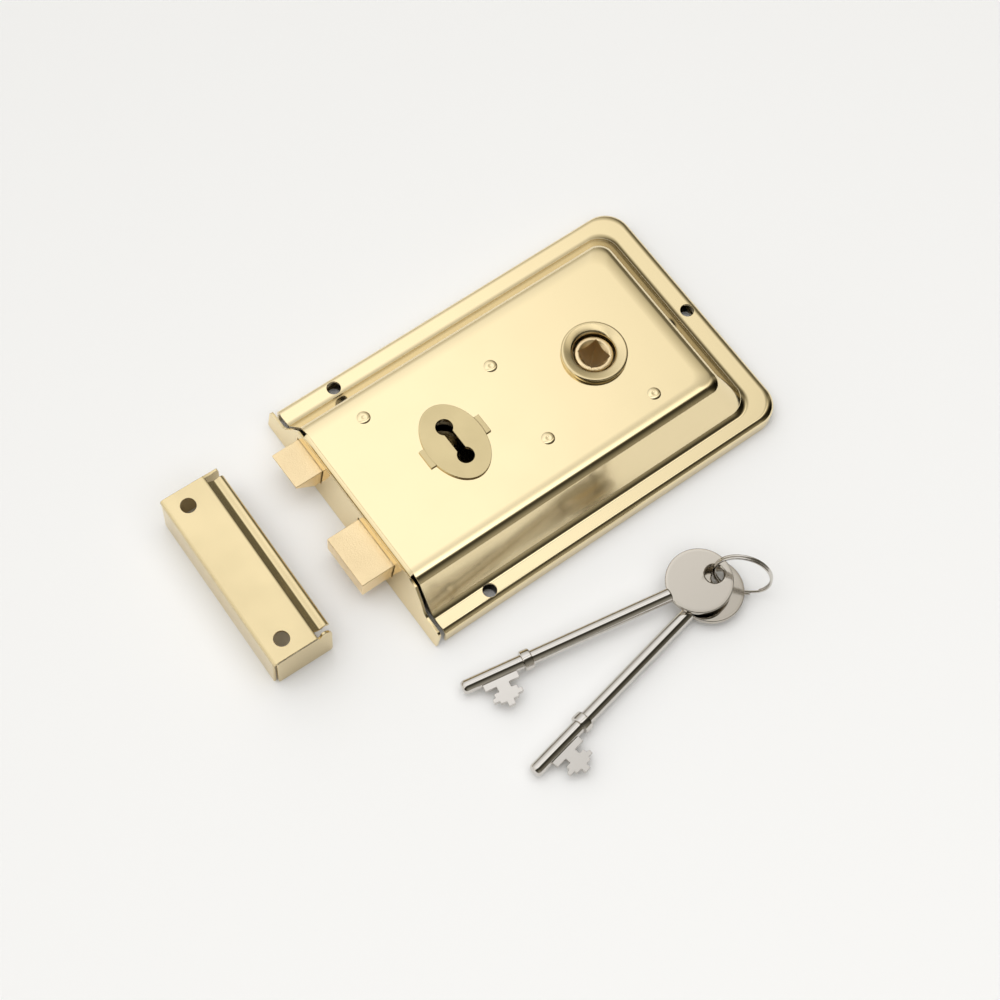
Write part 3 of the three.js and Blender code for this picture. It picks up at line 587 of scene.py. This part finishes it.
# ---------------------------------------------------------------- escutcheon
COVER_GAP = 0.05  # between the face and the plates laid on it
ESCUTCHEON_HALF_WIDTH, ESCUTCHEON_HALF_HEIGHT, ESCUTCHEON_THICK = 10.6, 15.1, 0.8
ESCUTCHEON_KEYHOLE = (3, 1.65)
OVAL_STEPS = 120
LUG_ROOT, LUG_REACH, LUG_HALF, LUG_THICK = 10.0, 12.4, 3.7, 0.65
LEG_MIDDLE, LEG_HALF_THICK, LEG_HALF, LEG_DEPTH = 11.35, 0.45, 3.05, 2.2


def escutcheon():
    """The oval plate, with a lug on each side whose leg goes down through the face."""
    low = HEIGHT + COVER_GAP
    angles = [2 * math.pi * k / OVAL_STEPS for k in range(OVAL_STEPS)]
    half_width, half_height = ESCUTCHEON_HALF_WIDTH, ESCUTCHEON_HALF_HEIGHT
    oval = [(KEY_X + half_width * math.cos(a), half_height * math.sin(a)) for a in angles]
    plate = slab(oval, low, low + ESCUTCHEON_THICK)
    for side in (-1, 1):
        start, end = sorted((KEY_X + side * LUG_ROOT, KEY_X + side * LUG_REACH))
        leg = KEY_X + side * LEG_MIDDLE
        leg_start, leg_end = leg - LEG_HALF_THICK, leg + LEG_HALF_THICK
        plate = join(
            plate,
            block(start, -LUG_HALF, low, end, LUG_HALF, low + LUG_THICK),
            block(leg_start, -LEG_HALF, HEIGHT - LEG_DEPTH, leg_end, LEG_HALF, low + 0.2),
        )
    return cut(plate, slab(dumbbell(KEY_X, *ESCUTCHEON_KEYHOLE), low - 1, low + 2))


oval_plate = add("escutcheon_plate", escutcheon(), "satin_brass", "case", ["escutcheon"], bevel=0.14)
# It is duller than the case that it sits in.
oval_plate.data.materials[0] = shader("aged_brass", (0.62, 0.51, 0.285), 0.22, wear=0.05)

# ---------------------------------------------------------------- follower and its ring
ARM_REACH, ARM_HALF, ARM_TIP_RADIUS = 15.5, 2.6, 2.1
ARM_LEAN = math.radians(20)
SPINDLE_HALF = 4.0


def follower_ring():
    """The dished ring round the follower: a collar through the face, and a rim that rolls inwards."""
    low = HEIGHT + COVER_GAP
    collar = [(7.5, HEIGHT - 2), (8.7, HEIGHT - 2), (8.7, low)]
    rim = [(11.35, 0), (11.6, 0.3), (11.6, 1.55), (11.5, 1.8), (11.3, 1.95), (11.05, 2.02), (10.7, 2.0)]
    dish = [(10.2, 1.92), (9.2, 1.7), (8.4, 1.52), (8.0, 1.38), (7.75, 1.15), (7.58, 0.85), (7.5, 0.4)]
    return turned(collar + [(radius, low + rise) for radius, rise in rim + dish], 128)


def follower_hub():
    """The hub with its square hole, and the two arms that draw the latch back."""
    outline = [(0, 0.3), (5.9, 0.3), (5.9, 8), (9, 8), (9, 13.6), (6.8, 13.6), (6.8, HEIGHT - 0.5)]
    outline += [(6.65, HEIGHT - 0.2), (6.3, HEIGHT), (5.3, HEIGHT), (3.9, HEIGHT - 1.5), (0, HEIGHT - 1.5)]
    hub = turned(outline, 128)
    arm = [(-ARM_HALF, 5), (ARM_HALF, 5), *arc(0, ARM_REACH, ARM_TIP_RADIUS, 0, math.pi, 16)]
    lean = Matrix.Rotation(ARM_LEAN, 4, "Z")
    turn_over = Matrix.Translation((0, 0, TAIL_LOW + TAIL_HIGH)) @ Matrix.Rotation(math.pi, 4, "X")
    for place in (lean, turn_over @ lean):
        hub = join(hub, moved(slab(arm, TAIL_LOW, TAIL_HIGH), place))
    return cut(hub, block(-SPINDLE_HALF, -SPINDLE_HALF, -1, SPINDLE_HALF, SPINDLE_HALF, HEIGHT + 1))


at_follower = Matrix.Translation((FOLLOWER_X, 0, 0))
add("follower_collar", follower_ring(), "satin_brass", "case", ["follower_ring"], at_follower, sharp=40)
add("follower_hub", follower_hub(), "cast_brass", "follower", ["follower"], at_follower, bevel=0.15)

# ---------------------------------------------------------------- bolts and the latch's spring
COIL_RADIUS, COIL_WIRE = 3.2, 0.4
COIL_TURNS, COIL_STEPS = 12, 24
COIL_END = 0.5  # from the end of the spring's space to the middle of its last wire


def latch_bolt():
    """The latch's head, with its slope on the door's side."""
    nose = [(LATCH_TIP, BOLT_HIGH), (LATCH_TIP, BOLT_HIGH - 0.8), (-1.4, BOLT_LOW)]
    nose += [(4, BOLT_LOW), (4, BOLT_HIGH)]
    return rolled(nose, LATCH_LOW_Y, LATCH_HIGH_Y)


def dead_bolt():
    return block(DEAD_TIP, DEAD_LOW_Y, BOLT_LOW, 3, DEAD_HIGH_Y, BOLT_HIGH)


def latch_spring(low_x, high_x, middle_y, middle_z):
    """A round coil spring between two places along x."""
    count = COIL_TURNS * COIL_STEPS
    start, end = low_x + COIL_END, high_x - COIL_END
    points = []
    for i in range(count + 1):
        a = 2 * math.pi * i / COIL_STEPS
        y, z = middle_y + COIL_RADIUS * math.cos(a), middle_z + COIL_RADIUS * math.sin(a)
        points.append(Vector((start + (end - start) * i / count, y, z)))
    return coil_along(points, circle(0, 0, COIL_WIRE, 12))


add("latch_bolt", latch_bolt(), "cast_brass", "latch", ["latch_head"], bevel=0.25)
add("dead_bolt_block", dead_bolt(), "cast_brass", "dead_bolt", ["dead_bolt_head"], bevel=0.3)

spring_low, spring_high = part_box("latch_spring")
_, spring_y, spring_z = centre_of("latch_spring")
coil = latch_spring((spring_low[0] - FRONT) / MM, (spring_high[0] - FRONT) / MM, spring_y, spring_z)
spring = add("latch_spring_wire", coil, "spring_steel", "case", ["latch_spring"])
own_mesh(spring)

# ---------------------------------------------------------------- keep
LIP_END = 2.8  # how far the rolled lip stops short of each end
SEAM_TOP = KEEP_HEIGHT - 1.3
SEAM_DEPTH = 1.25
KEEP_HOLE_RADIUS, KEEP_HOLE_X, KEEP_HOLE_INSET = 2.7, 7.2, 6.5


def keep_section():
    """The keep's sheet in x and z: up its face, across its top, and over the rolled lip."""
    w = KEEP_PLATE_WIDTH
    outer = [(0, -1.2), (0.4, -0.35), (1.2, 0), (w, 0), (w + 0.6, -0.15), (w + 2.6, -1.4), (w + 3.1, -1.55)]
    outer += [(w + 3.7, -1.35), (w + 4.6, -0.95), (w + 5.4, -0.9), (w + 6.2, -1.3), (w + 6.8, -2.6)]
    inner = [(w + 5.8, -2.7), (w + 5.5, -2.1), (w + 5.1, -1.9), (w + 4.8, -1.95), (w + 4, -2.35)]
    inner += [(w + 3.1, -2.6), (w + 2.2, -2.4), (w + 0.2, -1.15), (w - 0.3, -SHEET), (1.3, -SHEET)]
    inner += [(SHEET, -1.3)]
    return [(0, 0)] + [(x, z + KEEP_HEIGHT) for x, z in outer + inner] + [(SHEET, 0)]


def keep_ends():
    """The folded ends: the near one dips under the lip, and the far one is straight."""
    top, lip = KEEP_HEIGHT - 0.1, KEEP_PLATE_WIDTH
    near = [(1.3, 0), (KEEP_DEPTH, 0), (KEEP_DEPTH, top - 3.2), (KEEP_DEPTH - 0.9, top - 1.2)]
    near += [(KEEP_DEPTH - 2.2, top), (KEEP_DEPTH - 3.6, top), (lip + 1.4, top - 2.6), (lip + 0.4, top)]
    near.append((1.3, top))
    far = [(1.3, 0), (KEEP_DEPTH, 0), (KEEP_DEPTH, top - 1.4), (KEEP_DEPTH - 0.3, top), (1.3, top)]
    return (
        rolled(rounded(near, 1.2, 4), 0, SHEET),
        rolled(rounded(far, 0.4, 3), KEEP_LENGTH - SHEET, KEEP_LENGTH),
    )


def keep_shell():
    lip_x, far_x, over = KEEP_PLATE_WIDTH + 0.6, KEEP_DEPTH + 4, KEEP_HEIGHT + 2
    seam_width = SHEET + 0.1
    shell = cut(rolled(rounded(keep_section(), 3, 6), 0, KEEP_LENGTH), together(
        block(lip_x, -1, 5, far_x, LIP_END, over),
        block(lip_x, KEEP_LENGTH - LIP_END, 5, far_x, KEEP_LENGTH + 1, over),
        block(-1, -1, -1, SEAM_DEPTH, seam_width, SEAM_TOP),
        block(-1, KEEP_LENGTH - seam_width, -1, SEAM_DEPTH, KEEP_LENGTH + 1, SEAM_TOP),
    ))
    shell = join(shell, *keep_ends())
    hole_rows = (KEEP_HOLE_INSET, KEEP_LENGTH - KEEP_HOLE_INSET)
    return cut(shell, together(*[rod(KEEP_HOLE_X, y, KEEP_HOLE_RADIUS, 10, over) for y in hole_rows]))


add("keep_shell", keep_shell(), "satin_brass", "keep", ["keep_box"], KEEP_PLACE, bevel=0.15, sharp=40)

# ---------------------------------------------------------------- keys
COLLAR_CHAMFER = 0.5
BOW_CHAMFER = 0.35
BOW_HOLE_CHAMFER = 0.45


def key_place(tip, heading, rise):
    turn = Matrix.Rotation(math.radians(heading), 4, "Z") @ Matrix.Rotation(-math.radians(rise), 4, "Y")
    return Matrix.Translation(tip) @ turn


def key_shank():
    """The shank with its blunt tip and its collar, along x."""
    r, c, start, end, length = SHANK_RADIUS, COLLAR_RADIUS, COLLAR_START, COLLAR_END, SHANK_LENGTH
    tip = [(0, 0), (r - 1.0, 0), (r - 0.75, 0.06), (r - 0.5, 0.22), (r - 0.3, 0.5), (r - 0.1, 0.9), (r, 1.4)]
    collar = [(r, start), (c - COLLAR_CHAMFER, start), (c - 0.15, start + 0.18), (c, start + 0.6)]
    collar += [(c, end - 0.6), (c - 0.15, end - 0.18), (c - COLLAR_CHAMFER, end), (r, end)]
    root = [(r, length - 0.8), (r - 0.25, length - 0.25), (r - 0.8, length), (0, length)]
    return moved(turned(tip + collar + root, 64), Matrix.Rotation(math.pi / 2, 4, "Y"))


def key_bit():
    """The bit, the same on both sides of its middle: (distance from it, distance from the shank's axis)."""
    half = [(6.2, 1.4), (6.2, 4.6), (2.2, 4.6), (2.2, 6.5), (4.1, 6.5), (4.1, 7.9), (5.3, 7.9)]
    half += [(5.3, 9.5), (3.3, 9.5), (3.3, 10.5), (1.2, 10.5), (1.2, 12.3)]
    outline = [(BIT_CENTRE + s, -r) for s, r in half] + [(BIT_CENTRE - s, -r) for s, r in reversed(half)]
    return slab(rounded(outline, 0.25, 2), -BIT_THICK / 2, BIT_THICK / 2)


def key_bow():
    """A round bow with a hole off its middle, both with broken edges."""
    t, r, h, edge = BOW_THICK / 2, BOW_RADIUS, BOW_HOLE_RADIUS, BOW_CHAMFER
    rim = [(0, -t), (r - 1.6, -t), (r - 1.3, -t), (r - edge, -t), (r - 0.1, -t + 0.1), (r, -t + edge)]
    rim += [(radius, -z) for radius, z in reversed(rim)]
    disc = moved(turned(rim, 128), Matrix.Translation((BOW_CENTRE, 0, 0)))
    wide, straight = h + 1 + BOW_HOLE_CHAMFER, t - BOW_HOLE_CHAMFER
    hole = [(0, -t - 1), (wide, -t - 1), (h, -straight), (h, straight), (wide, t + 1), (0, t + 1)]
    return cut(disc, moved(turned(hole, 64), Matrix.Translation((BOW_CENTRE + BOW_HOLE_OFFSET, 0, 0))))


# Painted shade: the bows get a darker, warmer copy of the nickel, standing in for the dimmer light and the
# brass reflected in their flat faces.
shaded_bow_nickel = shader("shaded_bow_nickel", (0.54, 0.498, 0.435), 0.1, wear=0.03)
for number, (tip, heading, rise) in KEYS.items():
    place = key_place(tip, heading, rise)
    key, label = f"key_{number}", f"key_{number}_"
    add(label + "stem", key_shank(), "nickel", key, [label + "shank"], place)
    add(label + "blade", key_bit(), "nickel", key, [label + "bit"], place, bevel=0.12)
    bow = add(label + "head", key_bow(), "nickel", key, [label + "bow"], place, bevel=0.12)
    bow.data.materials[0] = shaded_bow_nickel

# ---------------------------------------------------------------- split ring
RING_WIRE = 0.48
RING_GAP = 0.02  # half of the gap between the two turns
RING_STEPS = 72
RING_OPEN_STEPS = 3  # what the second turn stops short of the first one's start
CROSSING_START, CROSSING_TURN = 1.75 * math.pi, 0.5 * math.pi


def split_ring():
    """Two turns of wire, side by side, with one smooth crossing from one to the other."""
    axis = Vector(RING_AXIS).normalized()
    first = axis.orthogonal().normalized()
    second = axis.cross(first)
    points = []
    for i in range(2 * RING_STEPS - RING_OPEN_STEPS):
        a = 2 * math.pi * i / RING_STEPS
        over = min(max((a - CROSSING_START) / CROSSING_TURN, 0), 1)
        over = over * over * (3 - 2 * over)
        aside = axis * ((over * 2 - 1) * (RING_WIRE + RING_GAP))
        points.append(first * (RING_RADIUS * math.cos(a)) + second * (RING_RADIUS * math.sin(a)) + aside)
    return coil_along(points, circle(0, 0, RING_WIRE, 20))


add("split_ring", split_ring(), "nickel", "key_ring", ["key_ring"], Matrix.Translation(RING_CENTRE), sharp=50)

# ---------------------------------------------------------------- paper floor
FLOOR_REACH = 12.0
FLOOR_GAP = 0.0001
PAPER_TONE = (0.92, 0.92, 0.92, 1)


def paper_floor(level):
    reach = FLOOR_REACH
    corners = [(-reach, -reach, 0), (reach, -reach, 0), (reach, reach, 0), (-reach, reach, 0)]
    sheet = bpy.data.objects.new("floor", mesh_of(corners, [(0, 1, 2, 3)]))
    sheet.location.z = level - FLOOR_GAP
    bpy.context.collection.objects.link(sheet)
    paper = bpy.data.materials.new("paper")
    paper.use_nodes = True
    surface = paper.node_tree.nodes["Principled BSDF"]
    surface.inputs["Base Color"].default_value = PAPER_TONE
    surface.inputs["Roughness"].default_value = 0.9
    sheet.data.materials.append(paper)
    return sheet


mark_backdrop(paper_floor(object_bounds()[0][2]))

# ---------------------------------------------------------------- light
LAMP_PLACE = Vector((-0.1, -0.3, 1.2))
LAMP_SIZE = 1.6
LAMP_POWER = 10.5


def overhead_lamp():
    """A softbox that lights the paper only: the metal would show its outline."""
    lamp = bpy.data.lights.new("overhead", "AREA")
    lamp.shape = "RECTANGLE"
    lamp.size = lamp.size_y = LAMP_SIZE
    lamp.energy = LAMP_POWER
    softbox = bpy.data.objects.new("overhead", lamp)
    softbox.location = LAMP_PLACE
    softbox.rotation_mode = "QUATERNION"
    softbox.rotation_quaternion = (-LAMP_PLACE).to_track_quat("-Z", "Y")
    softbox.visible_glossy = False
    bpy.context.collection.objects.link(softbox)


# A light tent: bright overhead and behind the lock, dark at the horizon and where the photographer stands.
# Each pair is how far the line of sight points towards +Y or +X, from 0 to 1, and how bright it is there.
# The ends of each ramp come first.
TENT_Y = [(0.0, 0.4), (1.0, 0.6), (0.12, 0.2), (0.24, 0.06), (0.39, 0.05), (0.45, 0.5), (0.49, 1.8)]
TENT_Y += [(0.52, 1.9), (0.56, 0.85), (0.6, 1.0), (0.64, 1.3), (0.7, 1.3), (0.85, 1.0)]
TENT_X = [(0.0, 0.75), (1.0, 0.12), (0.4, 1.0), (0.64, 1.0), (0.7, 0.76), (0.8, 0.46), (0.9, 0.12)]
DARK_TINT = (1.0, 0.92, 0.7)  # the dark parts of the room are the warmer ones


def tent_level(level):
    share = min(level, 1)
    return (*(level * (tint + (1 - tint) * share) for tint in DARK_TINT), 1)


def tent_ramp(sky, sight, axis, levels):
    """Brightness by how far the line of sight points along an axis."""
    dot = sky.nodes.new("ShaderNodeVectorMath")
    dot.operation = "DOT_PRODUCT"
    dot.inputs[1].default_value = axis
    sky.links.new(sight, dot.inputs[0])
    span = sky.nodes.new("ShaderNodeMapRange")
    span.inputs["From Min"].default_value = -1
    sky.links.new(dot.outputs["Value"], span.inputs["Value"])
    ramp = sky.nodes.new("ShaderNodeValToRGB")
    for i, (position, level) in enumerate(levels):
        stop = ramp.color_ramp.elements[i] if i < 2 else ramp.color_ramp.elements.new(position)
        stop.position = position
        stop.color = tent_level(level)
    sky.links.new(span.outputs["Result"], ramp.inputs["Fac"])
    return ramp.outputs["Color"]


def light_tent():
    world = bpy.data.worlds.new("studio")
    world.use_nodes = True
    sky = world.node_tree
    sight = sky.nodes.new("ShaderNodeTexCoord").outputs["Generated"]
    mix = sky.nodes.new("ShaderNodeVectorMath")
    mix.operation = "MULTIPLY"
    sky.links.new(tent_ramp(sky, sight, (0, 1, 0), TENT_Y), mix.inputs[0])
    sky.links.new(tent_ramp(sky, sight, (1, 0, 0), TENT_X), mix.inputs[1])
    sky.links.new(mix.outputs["Vector"], sky.nodes["Background"].inputs["Color"])
    sky.nodes["Background"].inputs["Strength"].default_value = 1.0
    bpy.context.scene.world = world


overhead_lamp()
light_tent()

# ---------------------------------------------------------------- camera
AZIMUTH, ELEVATION, ROLL = math.radians(-43.42), math.radians(66.04), math.radians(7.81)
DISTANCE = 0.74437
TARGET = Vector((FRONT + 0.04924, -0.01909, 0))
SENSOR, FOCAL_LENGTH = 36, 77.97


def camera():
    """In front of and above the lock, turned a little about its line of sight."""
    out = math.cos(ELEVATION)
    back = Vector((math.sin(AZIMUTH) * out, -math.cos(AZIMUTH) * out, math.sin(ELEVATION)))
    right = Vector((math.cos(AZIMUTH), math.sin(AZIMUTH), 0))
    up = back.cross(right)
    tilted_right = right * math.cos(ROLL) + up * math.sin(ROLL)
    tilted_up = up * math.cos(ROLL) - right * math.sin(ROLL)
    lens = bpy.data.cameras.new("camera")
    lens.sensor_width = SENSOR
    lens.lens = FOCAL_LENGTH
    lens.clip_start, lens.clip_end = 0.01, 20
    made = bpy.data.objects.new("camera", lens)
    turn = Matrix((tilted_right, tilted_up, back)).transposed().to_4x4()
    made.matrix_world = Matrix.Translation(TARGET + back * DISTANCE) @ turn
    bpy.context.collection.objects.link(made)
    return made


bpy.context.scene.camera = camera()
bpy.context.scene.view_settings.view_transform = "Standard"
